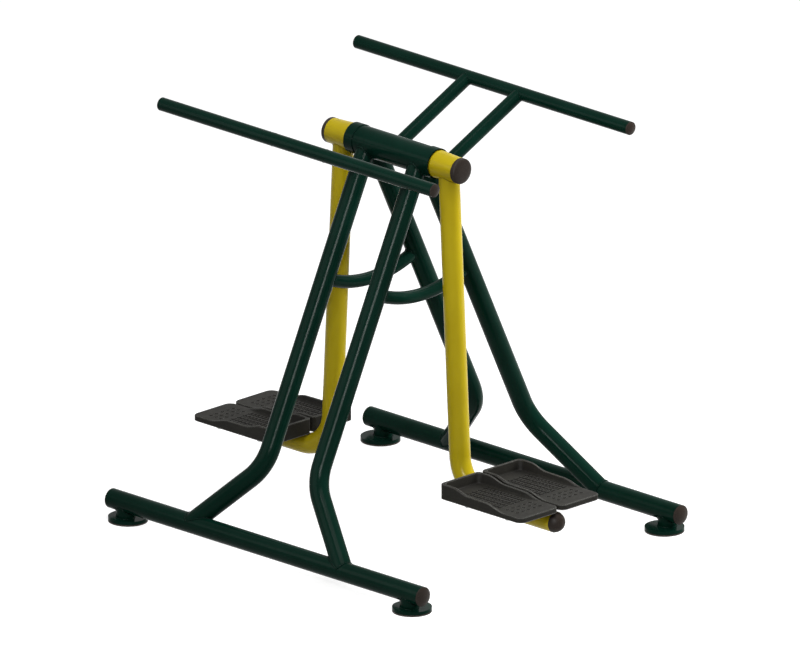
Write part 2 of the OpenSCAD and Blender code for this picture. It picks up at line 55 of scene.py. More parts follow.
# Frame: the planes of the legs lean together and meet at the apex, above the cross tube
LEAN = math.radians(25.5)
SKID_Y, SKID_Z, SKID_R, SKID_HALF = 540.0, 60.0, 30.0, 650.0
LEG_X, LEG_FOOT_X, CORNER_RISE, LEG_R = 108.0, 319.0, 225.0, 30.0
APEX_Z = SKID_Z + SKID_Y / math.tan(LEAN)
MAIN_R, MAIN_HALF, MAIN_DROP, COLLAR_COVER = 44.5, 150.0, 20.0, 8.0
AXIS_Z = APEX_Z - MAIN_DROP
BRACE_ARC_R, BRACE_R = 443.0, 20.0
STRUT_DROP, STRUT_REACH, STRUT_R = 98.0, 408.0, 20.0
BAR_R, BAR_HALF = 20.5, 570.0
BAR_Y = STRUT_DROP * math.sin(LEAN) + STRUT_REACH * math.cos(LEAN)
BAR_Z = APEX_Z - STRUT_DROP * math.cos(LEAN) + STRUT_REACH * math.sin(LEAN)
TUBE_WALL, BAR_WALL = 3.0, 2.5
FOOT_X, FOOT_SHIFT, NECK_R, DISC_TOP = 595.0, 11.0, 28.0, 15.0
PAD_R, PAD_T, PAD_EDGE = 59.5, 5.0, 0.8

# Pendulums: hub, arm, and the flare that paint and weld add to the hub's inner end
HUB_R, ARM_R, ARM_X, ARM_LEAN = 39.0, 31.75, 220.0, math.radians(3)
FLARE_X, FLARE_R, FLARE_L, FLARE_LIP, FLARE_FALL = 176.8, 42.8, 74.0, 0.6, 1.2

# Caps: domes as shares of the tube's radius, the plug in the tube, the groove under the rim
CAP_RIM, CAP_EDGE, CAP_DOME, ARM_CAP_DOME = 2.5, 0.9, 0.26, 0.84
PLUG_DEPTH, PLUG_ROOM, PLUG_EASE, CAP_GROOVE = 9.0, 0.2, 1.0, 0.7
HUB_CAP_RIM, HUB_CAP_H, HUB_CROWN_R = 10.5, 19.0, 13.0
HUB_PLUG_R, HUB_PLUG_DEPTH, HUB_PLUG_EASE, HUB_CAP_GROOVE = 30.8, 6.0, 0.4, 0.8
# Radius of the small flat that a turned shape has on its axis
POLE_R = 0.02

# Footplate: x runs from its arm end, RIM_S are shares of its length where the rim's height turns
RIM_T, RIM_MID, INSTEP_H = 8.0, 33.5, 32.5
RIM_S = (0.125, 0.34, 0.55, 0.80)
RIM_DRAFT, RIM_OUT_R, RIM_IN_R, RIM_FOOT_R = 0.14, 2.6, 2.4, 6.0
FLOOR_H, FLOOR_T = 17.0, 6.0
TOE_R, HEEL_R, INNER_ROUND = 12.0, 22.0, 14.0
TREAD_COLS, TREAD_PITCH, TREAD_X, TREAD_H = 5, 23.5, 9.5, 2.4
BLOCK_ROWS, BLOCK_START, BLOCK_PITCH, BLOCK_Y, BLOCK_R = 12, 66, 14, 17.0, 1.6
DOT_ROWS, DOT_Y, DOT_R, DOT_DROP = (250, 271, 292), 12.5, 4.6, 0.2
RIB_T, BOSS_X, BOSS_Y, BOSS_R, BOSS_EASE = 4.4, 84, 50, 10.0, 0.6
CROSS_PLATE_T = 7.0
# Vertex attribute of a footplate: 1 on its shell, 0 on its tread and ribs
SHELL = "shell"

# Weld beads: their radii, and the ripples, each of which is as many steps long as its shape
LEG_BEAD, STRUT_BEAD, BAR_BEAD, NECK_BEAD = 2.9, 2.3, 1.2, 2.4
COLLAR_BEAD, HUB_BEAD, PLATE_BEAD = 0.9, 1.4, 2.4
PLATE_BEAD_HALF = 18
RIPPLE_PITCH, RIPPLE_DEPTH, RIPPLE_SPREAD = 3.4, 0.13, 0.06
RIPPLE_SHAPE = (1, -0.4, -0.6)
BEAD_SIDES, BEAD_TAIL = 7, 0.45
# A slant that no bead runs along
BEAD_SLANT = Vector((0.31, 0.57, 0.76))

# ---------------------------------------------------------------- materials


def new_node(tree, kind, values=(), **settings):
    """A node with its settings. Each named socket is linked to an output or set to a value."""
    n = tree.nodes.new(kind)
    for key, value in settings.items():
        setattr(n, key, value)
    for key, value in dict(values).items():
        if isinstance(value, bpy.types.NodeSocket):
            tree.links.new(value, n.inputs[key])
        else:
            n.inputs[key].default_value = value
    return n


class Shader:
    """A material with short calls for the nodes that the finishes share."""

    def __init__(self, name, constant, value):
        self.mat = bpy.data.materials.new(name)
        self.mat.use_nodes = True
        self.bsdf = self.mat.node_tree.nodes["Principled BSDF"]
        self.bsdf.inputs[constant].default_value = value
        self.at = self.node("ShaderNodeTexCoord").outputs["Object"]

    def node(self, kind, values=(), **settings):
        return new_node(self.mat.node_tree, kind, values, **settings)

    def link(self, value, socket):
        self.mat.node_tree.links.new(value, self.bsdf.inputs[socket])

    def noise(self, scale, detail, roughness=0.55, stretch=None):
        at = self.at
        if stretch:
            at = self.node("ShaderNodeMapping", {"Vector": at, "Scale": stretch}).outputs["Vector"]
        values = {"Vector": at, "Scale": scale, "Detail": detail, "Roughness": roughness}
        return self.node("ShaderNodeTexNoise", values).outputs["Fac"]

    def ramp(self, value, low, high, to_low=0.0, to_high=1.0):
        values = {"Value": value, "From Min": low, "From Max": high,
                  "To Min": to_low, "To Max": to_high}
        return self.node("ShaderNodeMapRange", values, clamp=True).outputs["Result"]

    def mix(self, factor, a, b):
        values = {"Factor": factor, "A": a, "B": b}
        return self.node("ShaderNodeMix", values, data_type="RGBA").outputs["Result"]

    def crevice(self, distance, inside=False, alone=True):
        """How open the surface is within a distance, or how solid it is behind the surface."""
        return self.node("ShaderNodeAmbientOcclusion", {"Distance": distance * MM},
                         samples=6, only_local=alone, inside=inside).outputs["AO"]

    def colour(self, value):
        self.link(value, "Base Color")

    def rough(self, middle, below, above, *noise):
        value = self.ramp(self.noise(*noise), 0.3, 0.7, middle - below, middle + above)
        self.link(value, "Roughness")

    def bump(self, depth, strength, *noise):
        values = {"Strength": strength, "Distance": depth * MM, "Height": self.noise(*noise)}
        self.link(self.node("ShaderNodeBump", values).outputs["Normal"], "Normal")


def srgb(r, g, b):
    """The linear colour of three display values from 0 to 255."""
    def linear(c):
        c /= 255
        return c / 12.92 if c <= 0.04045 else ((c + 0.055) / 1.055) ** 2.4
    return (linear(r), linear(g), linear(b), 1.0)


def paint(name, rough, level, body, light, dark, crease_shade):
    """Powder-coat over steel: a fine orange peel, faint drifts of tone, and painted shade in the
    creases.
    """
    s = Shader(name, "Specular IOR Level", level)
    drift = s.ramp(s.noise(7.0, 4.0), 0.35, 0.65)
    speck = s.ramp(s.noise(900.0, 2.0), 0.58, 0.72, 0.0, 0.35)
    tone = s.mix(speck, s.mix(drift, body, light), dark)
    # Painted shade: the colour darkens in creases and corners, where little space is open within 7
    # mm
    painted_shade = s.ramp(s.crevice(7.0, alone=False), 0.45, 0.9, 0.85, 0.0)
    s.colour(s.mix(painted_shade, tone, crease_shade))
    s.rough(rough, 0.03, 0.04, 30.0, 5.0)
    s.bump(0.02, 0.25, 420.0, 2.0, 0.4)
    return s.mat


def moulded(name, rough, level, grain, depth, body, light, dark):
    """Shader and tone of a moulded plastic: a spark-eroded grain, pale specks and soft wear."""
    s = Shader(name, "Specular IOR Level", level)
    drift = s.ramp(s.noise(14.0, 5.0), 0.3, 0.7)
    speck = s.ramp(s.noise(420.0, 2.0, 0.7), 0.55, 0.7, 0.0, 0.6)
    s.rough(rough, 0.06, 0.06, 60.0, 4.0)
    s.bump(depth, 0.6, grain, 3.0, 0.6)
    return s, s.mix(speck, s.mix(drift, body, dark), light)


def plastic(name, **finish):
    s, tone = moulded(name, **finish)
    s.colour(tone)
    return s.mat


def plastic_with_painted_light(name, painted_shade, painted_highlight, **finish):
    """Plastic that is trodden on, with painted shade in its recesses and down in its tray, and a
    painted highlight along the edges of its shell.
    """
    s, tone = moulded(name, **finish)
    shell = s.node("ShaderNodeAttribute", attribute_name=SHELL).outputs["Fac"]
    # Painted highlight: a pale colour along the shell's convex edges, where the plastic is solid
    # within 3.5 mm behind its surface
    edge = s.ramp(s.crevice(3.5, inside=True), 0.55, 0.92, 1.0, 0.0)
    painted_highlight_mask = s.node("ShaderNodeMath", {0: edge, 1: shell}, operation="MULTIPLY").outputs["Value"]
    tone = s.mix(painted_highlight_mask, tone, painted_highlight)
    # Painted shade down in the tray, where the walls hem the floor in within 30 mm
    tone = s.mix(s.ramp(s.crevice(30.0), 0.35, 0.9, 0.6, 0.0), tone, painted_shade)
    # Painted shade in recesses and inner corners, within 8 mm
    s.colour(s.mix(s.ramp(s.crevice(8.0), 0.55, 1.0, 0.95, 0.0), tone, painted_shade))
    return s.mat


def steel(name, rough, tint, brushed):
    """Bare or zinc-plated steel with turning marks and a cloudy plating."""
    s = Shader(name, "Metallic", 1.0)
    cloud = s.ramp(s.noise(35.0, 5.0), 0.3, 0.7)
    s.colour(s.mix(cloud, tint, tuple(c * 0.8 for c in tint[:3]) + (1.0,)))
    s.rough(rough, 0.08, 0.1, 80.0, 4.0, 0.6, brushed)
    s.bump(0.04, 0.4, 500.0, 2.0, 0.5, brushed)
    return s.mat


# The last colour of each paint is the painted shade laid into its creases
GREEN = paint(
    "green_powder_coat", rough=0.18, level=0.025,
    body=srgb(5, 35, 26), light=srgb(9, 40, 31), dark=srgb(3, 26, 19), crease_shade=srgb(2, 14, 11))
YELLOW = paint(
    "yellow_powder_coat", rough=0.22, level=0.07,
    body=srgb(180, 159, 20), light=srgb(186, 166, 24), dark=srgb(166, 144, 16),
    crease_shade=srgb(70, 50, 12))
CAP = plastic(
    "cap_plastic", rough=0.5, level=0.1, grain=700.0, depth=0.12,
    body=srgb(42, 35, 30), light=srgb(62, 55, 49), dark=srgb(35, 29, 25))
# The last two colours are painted light: the shade in recesses and the tray, and the highlight
# along the edges
PEDAL = plastic_with_painted_light(
    "footplate_plastic", rough=0.6, level=0.08, grain=520.0, depth=0.08,
    body=srgb(38, 37, 33), light=srgb(52, 51, 47), dark=srgb(32, 31, 28),
    painted_shade=srgb(12, 11, 10), painted_highlight=srgb(138, 138, 134))
RUBBER = plastic(
    "pad_rubber", rough=0.75, level=0.25, grain=300.0, depth=0.3,
    body=srgb(66, 58, 52), light=srgb(84, 76, 70), dark=srgb(54, 48, 44))
SEAL = plastic(
    "seal_rubber", rough=0.6, level=0.3, grain=600.0, depth=0.1,
    body=srgb(34, 32, 31), light=srgb(52, 50, 48), dark=srgb(26, 25, 24))
BEARING = steel("bearing_steel", rough=0.22, tint=srgb(196, 198, 200), brushed=(1.0, 30.0, 30.0))
ZINC = steel("zinc_steel", rough=0.34, tint=srgb(186, 188, 186), brushed=(20.0, 1.0, 1.0))

SLOT_OF = {
    "green_paint": GREEN, "yellow_paint": YELLOW, "cap_plastic": CAP, "footplate_plastic": PEDAL,
    "pad_rubber": RUBBER, "seal_rubber": SEAL, "bearing_steel": BEARING, "zinc_steel": ZINC,
}
# The first of these words that a CAD node's name holds gives its finish; the rest are green
NODE_MATERIAL = (
    ("cap", CAP), ("foot_pads", RUBBER), ("seals", SEAL), ("races", BEARING), ("balls", BEARING),
    ("circlips", BEARING), ("spacer", ZINC), ("axle_plate", GREEN), ("axle", ZINC),
    ("bolts", ZINC), ("footplate", PEDAL), ("hub", YELLOW), ("arm", YELLOW),
    ("cross_plates", YELLOW),
)


def node_material(name):
    for key, mat in NODE_MATERIAL:
        if key in name:
            return mat
    return GREEN


for name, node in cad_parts.items():
    mat = node_material(name)
    if node.material_slots:
        for place in node.material_slots:
            place.material = mat
    else:
        node.data.materials.append(mat)

# ---------------------------------------------------------------- mesh helpers


class Piece:
    """Closed shells that make up one mesh."""

    def __init__(self):
        self.verts, self.faces = [], []

    def skin(self, rings, closed_run=False):
        """Skins a row of rings with equal counts. An open row gets a face at either end."""
        n, base = len(rings[0]), len(self.verts)
        for ring in rings:
            self.verts.extend(tuple(v) for v in ring)
        count = len(rings)
        for i in range(count if closed_run else count - 1):
            a, b = base + i * n, base + (i + 1) % count * n
            for j in range(n):
                k = (j + 1) % n
                self.faces.append((a + j, a + k, b + k, b + j))
        if not closed_run:
            self.faces.append(tuple(base + j for j in reversed(range(n))))
            self.faces.append(tuple(base + (count - 1) * n + j for j in range(n)))


def add_mesh(name, piece, slot, body, sharp=32.0):
    """A piece's mesh. It rides on a body, and its finish comes from a slot."""
    mesh = bpy.data.meshes.new(name)
    mesh.from_pydata((np.asarray(piece.verts, float) * MM).tolist(), [], piece.faces)
    mesh.validate()
    mesh.polygons.foreach_set("use_smooth", [True] * len(mesh.polygons))
    mesh.set_sharp_from_angle(angle=math.radians(sharp))
    obj = bpy.data.objects.new(name, mesh)
    bpy.context.scene.collection.objects.link(obj)
    mesh.materials.append(SLOT_OF[slot])
    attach(obj, body)
    return obj


def stand_in(node, piece, slot, body, sharp=32.0):
    """A piece's mesh that is shown in place of a CAD node."""
    obj = add_mesh(node + "_moulded", piece, slot, body, sharp)
    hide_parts(node)
    return obj


def box_mm(node):
    """The low and the high corner of a CAD node's box, in millimetres."""
    return [np.array(c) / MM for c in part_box(node)]


def end_x(node, side):
    """Where a CAD node ends on one side."""
    low, high = box_mm(node)
    return high[0] if side == RIGHT else low[0]


def arm_end_z(side):
    """Height of the lower, level end of an arm."""
    return box_mm(SIDE_NAME[side] + "_arm")[0][2] + ARM_R


def turn(n):
    """Angles of n even steps round a circle."""
    return [2 * math.pi * i / n for i in range(n)]


def square_to(axis):
    """Two directions square to an axis and to each other."""
    e1 = axis.orthogonal().normalized()
    return e1, axis.cross(e1)


def arc(cx, cy, r, a0, a1, n):
    """Points of an arc in n steps, from one angle in degrees to another."""
    angles = [math.radians(a0 + (a1 - a0) * i / n) for i in range(n + 1)]
    return [(cx + r * math.cos(a), cy + r * math.sin(a)) for a in angles]


def lathe(piece, profile, place, axis, turns=64):
    """Turns a profile of (radius, height) pairs round an axis. Both its ends lie near the axis."""
    axis = Vector(axis).normalized()
    e1, e2 = square_to(axis)
    rings = []
    for r, h in profile:
        centre = Vector(place) + axis * h
        rings.append([centre + (e1 * math.cos(t) + e2 * math.sin(t)) * r for t in turn(turns)])
    piece.skin(rings)


# ---------------------------------------------------------------- end caps


def plug(r, depth, ease):
    """What goes into the tube, with an eased end."""
    return [(POLE_R, -depth), (r - ease, -depth), (r, 1.0 - depth), (r, 0.0)]


def groove(r, width):
    """The fine parting groove between a tube and its cap."""
    return [(r - 0.7, 0.0), (r - 0.5, width / 2), (r, width)]


def cap_profile(r, wall, rise):
    """Plug, groove, a straight rim with an eased edge, and a shallow dome."""
    rim, foot = CAP_RIM, r - CAP_EDGE
    big = (foot * foot + rise * rise) / (2 * rise)
    half = math.degrees(math.asin(foot / big))
    dome = arc(0, rim + rise - big, big, 90 - half, 90, 12)
    dome[-1] = (POLE_R, rim + rise)
    edge = [(r, rim - CAP_EDGE * 0.9), (r - 0.25, rim - 0.28), (r - 0.55, rim - 0.05)]
    return (plug(r - wall - PLUG_ROOM, PLUG_DEPTH, PLUG_EASE) + groove(r, CAP_GROOVE)
            + edge + dome)


def add_cap(piece, place, side, r, wall, dome=CAP_DOME):
    lathe(piece, cap_profile(r, wall, dome * r), place, (side, 0, 0))


def hub_cap_profile():
    """Plug, groove, a straight rim, a round shoulder and a nearly flat crown."""
    r, height, rim = HUB_R, HUB_CAP_H, HUB_CAP_RIM
    wide, steps = r - HUB_CROWN_R, 12
    shoulder = [(HUB_CROWN_R + wide * math.cos(a), rim + (height - rim) * math.sin(a))
                for a in (math.radians(90 / steps * i) for i in range(1, steps))]
    last_r, last_h = shoulder[-1]
    crown = [(last_r * k, height - (height - last_h) * k * k) for k in (0.75, 0.45)]
    return (plug(HUB_PLUG_R, HUB_PLUG_DEPTH, HUB_PLUG_EASE) + groove(r, HUB_CAP_GROOVE)
            + [(r, rim)] + shoulder + crown + [(POLE_R, height)])


def build_caps():
    for side in SIDES:
        for end in ENDS:
            p = Piece()
            add_cap(p, (side * SKID_HALF, end * SKID_Y, SKID_Z), side, SKID_R, TUBE_WALL)
            node = f"{END_NAME[end]}_{SIDE_NAME[side]}_skid_cap"
            stand_in(node, p, "cap_plastic", FIXED)
        hub, arm = SIDE_NAME[side] + "_hub", SIDE_NAME[side] + "_arm"
        p = Piece()
        lathe(p, hub_cap_profile(), (end_x(hub, side), 0, AXIS_Z), (side, 0, 0), 96)
        stand_in(hub + "_cap", p, "cap_plastic", PENDULUM[side])
        p = Piece()
        place = (end_x(arm, side), 0, arm_end_z(side))
        add_cap(p, place, side, ARM_R, TUBE_WALL, ARM_CAP_DOME)
        stand_in(arm + "_cap", p, "cap_plastic", PENDULUM[side])
    for end in ENDS:
        p = Piece()
        for side in SIDES:
            add_cap(p, (side * BAR_HALF, end * BAR_Y, BAR_Z), side, BAR_R, BAR_WALL)
        stand_in(END_NAME[end] + "_handlebar_caps", p, "cap_plastic", FIXED)


# ---------------------------------------------------------------- foot pads


def build_pads():
    """Pads with a ring groove in the sole and another round the side."""
    r, edge = PAD_R, PAD_EDGE
    sole = [(POLE_R, 0.0), (r - 4.0, 0.0), (r - 3.0, 0.5), (r - 1.6, 0.5), (r - 1.0, 0.0),
            (r - edge, 0.0)]
    side_up = arc(r - edge, edge, edge, -90, 0, 3)[1:] + [
        (r, 1.9), (r - 0.5, 2.2), (r - 0.5, 2.8), (r, 3.1), (r, 4.4)]
    top = [(r - 0.4, PAD_T), (POLE_R, PAD_T)]
    p = Piece()
    for side in SIDES:
        for end in ENDS:
            place = (side * FOOT_X, end * (SKID_Y - FOOT_SHIFT), 0)
            lathe(p, sole + side_up + top, place, (0, 0, 1), 96)
    stand_in("foot_pads", p, "pad_rubber", FIXED)


# ---------------------------------------------------------------- footplates


def ease(t):
    """A smooth step from 0 to 1."""
    return (1 - math.cos(math.pi * t)) / 2


def rim_height(s, high):
    """Height of the rim at a share of the length: two eased steps with a slow fall between."""
    if s < RIM_S[0]:
        return high
    if s < RIM_S[1]:
        return high + (RIM_MID - high) * ease((s - RIM_S[0]) / (RIM_S[1] - RIM_S[0]))
    if s < RIM_S[2]:
        return RIM_MID + (INSTEP_H - RIM_MID) * (s - RIM_S[1]) / (RIM_S[2] - RIM_S[1])
    if s < RIM_S[3]:
        return INSTEP_H + (FLOOR_H - INSTEP_H) * ease((s - RIM_S[2]) / (RIM_S[3] - RIM_S[2]))
    return FLOOR_H


def corner_r(r, d):
    """Corner radius at an inset: the wall is rounded wider on its inside."""
    return max(r - d + INNER_ROUND * min(d / RIM_T, 1.0), 0.8)


def stations(l, w):
    """Places round the outline: (x of the rim's height, function of the inset)."""
    out = []
    straight = l - HEEL_R - TOE_R

    def corner(sx, sy, r, degrees):
        a = math.radians(degrees)

        def at(d):
            rr = corner_r(r, d)
            x = (d + rr) if sx < 0 else (l - d - rr)
            y = sy * (w / 2 - d - rr)
            return x + rr * math.cos(a), y + rr * math.sin(a)
        out.append((at(0)[0], at))

    def side(sy, share):
        def at(d):
            lo, hi = d + corner_r(TOE_R, d), l - d - corner_r(HEEL_R, d)
            return lo + share * (hi - lo), sy * (w / 2 - d)
        out.append((TOE_R + straight * share, at))

    def end(sx, share, r):
        def at(d):
            half = w / 2 - d - corner_r(r, d)
            return (d if sx < 0 else l - d), half * share
        out.append((0 if sx < 0 else l, at))

    side_steps, end_steps = 58, 6
    shares = [i / side_steps for i in range(side_steps + 1)]
    across = [2 * i / end_steps - 1 for i in range(end_steps + 1)]
    heel_turn, toe_turn = range(9, 90, 9), range(15, 90, 15)
    for share in shares:
        side(-1, share)
    for a in heel_turn:
        corner(1, -1, HEEL_R, a - 90)
    for share in across:
        end(1, share, HEEL_R)
    for a in heel_turn:
        corner(1, 1, HEEL_R, a)
    for share in shares:
        side(1, 1 - share)
    for a in toe_turn:
        corner(-1, 1, TOE_R, 90 + a)
    for share in across:
        end(-1, -share, TOE_R)
    for a in toe_turn:
        corner(-1, -1, TOE_R, 180 + a)
    return out


def rim_section(h):
    """Wall of the footplate: (inset, height) from the underside round the rim to the floor."""
    drop = h - FLOOR_H
    half = max(drop, 0) / 2
    r1, r2, r3 = RIM_OUT_R, min(RIM_IN_R, half), min(RIM_FOOT_R, half)
    foot = RIM_T + RIM_DRAFT * drop
    fine, quarter = (0, 0.4, 0.8, 1.2, math.pi / 2), (0, 0.5, 1.05, math.pi / 2)
    pts = [(RIM_T, FLOOR_H - FLOOR_T), (RIM_T, 0.8), (RIM_T - 0.8, 0.0)]
    pts += [(0.9, 0.0), (0.0, 0.9), (0.0, 1.8), (0.0, h - r1 - 0.7)]
    pts += [(r1 - r1 * math.cos(a), h - r1 + r1 * math.sin(a)) for a in fine]
    pts += [(r1 + 0.6, h), (RIM_T - r2 - 0.5, h)]
    pts += [(RIM_T - r2 + r2 * math.sin(a), h - r2 + r2 * math.cos(a)) for a in quarter]
    pts += [(foot + r3 - r3 * math.cos(a), FLOOR_H + r3 - r3 * math.sin(a)) for a in quarter]
    pts += [(foot + r3 + 0.8, FLOOR_H)]
    return pts


def block(piece, x, y, sx, sy, z0, z1, r, draft=0.5, top_edge=0.45):
    """A raised block with rounded corners, sloped sides and an eased top edge."""
    rings = []
    for z, inset in ((z0, 0.0), (z1 - top_edge, draft), (z1, draft + top_edge)):
        hx, hy, rr = sx / 2 - inset, sy / 2 - inset, max(r - inset, 0.3)
        ring = []
        for cx, cy, a0 in ((1, 1, 0), (-1, 1, 90), (-1, -1, 180), (1, -1, 270)):
            for px, py in arc(x + cx * (hx - rr), y + cy * (hy - rr), rr, a0, a0 + 90, 3):
                ring.append((px, py, z))
        rings.append(ring)
    piece.skin(rings)


def footplate(l, w, high):
    """One footplate from its arm end at x = 0, standing on z = 0, and its shell's vertices."""
    p = Piece()
    sections = []
    for x, at in stations(l, w):
        sections.append([(*at(d), z) for d, z in rim_section(rim_height(x / l, high))])
    p.skin([list(ring) for ring in zip(*sections)])
    shell_verts = len(p.verts)

    root, top = FLOOR_H - 1, FLOOR_H + TREAD_H
    columns = [(col - TREAD_COLS // 2) * TREAD_PITCH for col in range(TREAD_COLS)]
    for row in range(BLOCK_ROWS):
        for y in columns:
            block(p, BLOCK_START + BLOCK_PITCH * row, y, TREAD_X, BLOCK_Y, root, top, BLOCK_R)
    for x in DOT_ROWS:
        for y in columns:
            block(p, x, y, TREAD_X, DOT_Y, root, top - DOT_DROP, DOT_R)

    under, mid = FLOOR_H - FLOOR_T + 1, l / 2
    for y in (-BOSS_Y, 0, BOSS_Y):
        block(p, mid, y, l - 2 * RIM_T + 4, RIB_T, 0.0, under, 0.4, 0.2, 0.2)
    for x in (-BOSS_X, 0, BOSS_X):
        block(p, mid + x, 0, RIB_T, w - 2 * RIM_T + 4, 0.0, under, 0.4, 0.2, 0.2)
    boss = [(POLE_R, 0.0), (BOSS_R - BOSS_EASE, 0.0), (BOSS_R, 0.5), (BOSS_R, under),
            (POLE_R, under)]
    for x in (-BOSS_X, BOSS_X):
        for y in (-BOSS_Y, BOSS_Y):
            lathe(p, boss, (mid + x, y, 0), (0, 0, 1), 32)
    return p, shell_verts


def build_footplates():
    for side in SIDES:
        for end in ENDS:
            node = f"{SIDE_NAME[side]}_{END_NAME[end]}_footplate"
            low, high = box_mm(node)
            p, shell_verts = footplate(*(high - low))
            v = np.array(p.verts)
            v[:, 0] = end_x(node, -side) + side * v[:, 0]
            v[:, 1] += (low[1] + high[1]) / 2
            v[:, 2] += low[2]
            p.verts = v
            if side == LEFT:
                p.faces = [tuple(reversed(f)) for f in p.faces]
            plate = stand_in(node, p, "footplate_plastic", PENDULUM[side], sharp=40)
            shell = plate.data.attributes.new(SHELL, "FLOAT", "POINT")
            shell.data.foreach_set("value", [float(i < shell_verts) for i in range(len(v))])


# ---------------------------------------------------------------- weld beads


def meet(point, inside, t_out, t_in):
    """Where point(t) goes inside, between a t that is clear of it and one that is in it."""
    for _ in range(40):
        mid = (t_out + t_in) / 2
        if inside(point(mid)):
            t_in = mid
        else:
            t_out = mid
    return point((t_out + t_in) / 2)


def ring_of(line, inside, t_out, t_in):
    """The ring where the side lines of one rod go inside another."""
    return [meet(line(a), inside, t_out, t_in) for a in turn(72)]


def in_rod(centre, axis, r):
    """A test of whether a point lies in an endless round rod."""
    centre, axis = Vector(centre), Vector(axis).normalized()

    def test(p):
        q = p - centre
        return (q - axis * q.dot(axis)).length < r
    return test


def in_cross_rod(y, z, r):
    """The same for a rod along x."""
    return in_rod((0, y, z), (1, 0, 0), r)


def rod(origin, axis, r):
    """line(a), the side line at angle a of a round rod, which gives point(t) along it."""
    origin, axis = Vector(origin), Vector(axis).normalized()
    e1, e2 = square_to(axis)

    def line(a):
        start = origin + (e1 * math.cos(a) + e2 * math.sin(a)) * r
        return lambda t: start + axis * t
    return line


def bead(piece, path, r, seed, closed=True):
    """A rippled weld bead that runs along a path."""
    pts = [Vector(q) for q in path]
    if closed:
        pts.append(pts[0])
    length = [0.0]
    for a, b in zip(pts, pts[1:]):
        length.append(length[-1] + (b - a).length)
    steps = len(RIPPLE_SHAPE)
    ripples = max(int(length[-1] / RIPPLE_PITCH), 4)
    count = ripples * steps
    wave = np.random.default_rng(seed).normal(0, RIPPLE_SPREAD, ripples + 1)
    rings, j = [], 0
    stops = count if closed else count + 1
    for i in range(stops):
        s = length[-1] * i / count
        while j < len(length) - 2 and length[j + 1] < s:
            j += 1
        seg = max(length[j + 1] - length[j], 1e-9)
        here = pts[j].lerp(pts[j + 1], (s - length[j]) / seg)
        along = (pts[j + 1] - pts[j]).normalized()
        e1 = along.cross(BEAD_SLANT).normalized()
        e2 = along.cross(e1)
        size = r * (1 + RIPPLE_DEPTH * RIPPLE_SHAPE[i % steps] + wave[i // steps % ripples])
        if not closed and i in (0, stops - 1):
            size *= BEAD_TAIL
        rings.append([here + (e1 * math.cos(t) + e2 * math.sin(t)) * size
                      for t in turn(BEAD_SIDES)])
    piece.skin(rings, closed_run=closed)


def mirrored(path, side, end):
    """A path of the right rear quarter, taken to another quarter."""
    return [Vector((side * p.x, end * p.y, p.z)) for p in path]


def plane_point(x, along):
    """A point of the rear legs' leaning plane: x, and the distance up it from the skid."""
    return Vector((x, SKID_Y - along * math.sin(LEAN), SKID_Z + along * math.cos(LEAN)))


def quarter_beads():
    """Path and radius of each bead in the right rear quarter of the frame."""
    down_leg = (plane_point(0, 0) - plane_point(0, 1)).normalized()
    corner = plane_point(LEG_X, CORNER_RISE)
    kick = (plane_point(LEG_FOOT_X, 0) - corner).normalized()
    in_leg = in_rod(plane_point(LEG_X, 0), down_leg, LEG_R)
    # The legs are as thick as the skids, so their outermost lines need a hair to meet them
    on_skid = ring_of(rod(corner, kick, LEG_R), in_cross_rod(SKID_Y, SKID_Z, SKID_R + 0.02),
                      t_out=100, t_in=305)
    on_main = ring_of(rod(plane_point(LEG_X, 900), -down_leg, LEG_R),
                      in_cross_rod(0, AXIS_Z, MAIN_R), t_out=0, t_in=340)

    half = STRUT_REACH / 2
    strut_foot = Vector((LEG_X, STRUT_DROP * math.sin(LEAN), APEX_Z - STRUT_DROP * math.cos(LEAN)))
    up_strut = Vector((0, math.cos(LEAN), math.sin(LEAN)))
    middle = strut_foot + up_strut * STRUT_REACH / 2
    strut_leg = ring_of(rod(middle, -up_strut, STRUT_R), in_leg, t_out=0, t_in=half)
    strut_bar = ring_of(rod(middle, up_strut, STRUT_R), in_cross_rod(BAR_Y, BAR_Z, BAR_R),
                        t_out=0, t_in=half)

    neck_skid = ring_of(rod((FOOT_X, SKID_Y, 18), (0, 0, 1), NECK_R),
                        in_cross_rod(SKID_Y, SKID_Z, SKID_R), t_out=0, t_in=41)
    neck_disc = [Vector((FOOT_X + NECK_R * math.cos(t), SKID_Y + NECK_R * math.sin(t), DISC_TOP))
                 for t in turn(60)]

    def brace_line(a):
        """The side line at angle a of a brace; its t is the angle from the middle plane."""
        radius = BRACE_ARC_R + BRACE_R * math.cos(a)
        x = LEG_X + BRACE_R * math.sin(a)
        return lambda t: Vector((x, radius * math.sin(t), APEX_Z - radius * math.cos(t)))
    brace_leg = ring_of(brace_line, in_leg, t_out=0.2, t_in=LEAN)

    return ((on_skid, LEG_BEAD), (on_main, LEG_BEAD), (strut_leg, STRUT_BEAD),
            (strut_bar, BAR_BEAD), (neck_skid, NECK_BEAD), (neck_disc, NECK_BEAD),
            (brace_leg, STRUT_BEAD))


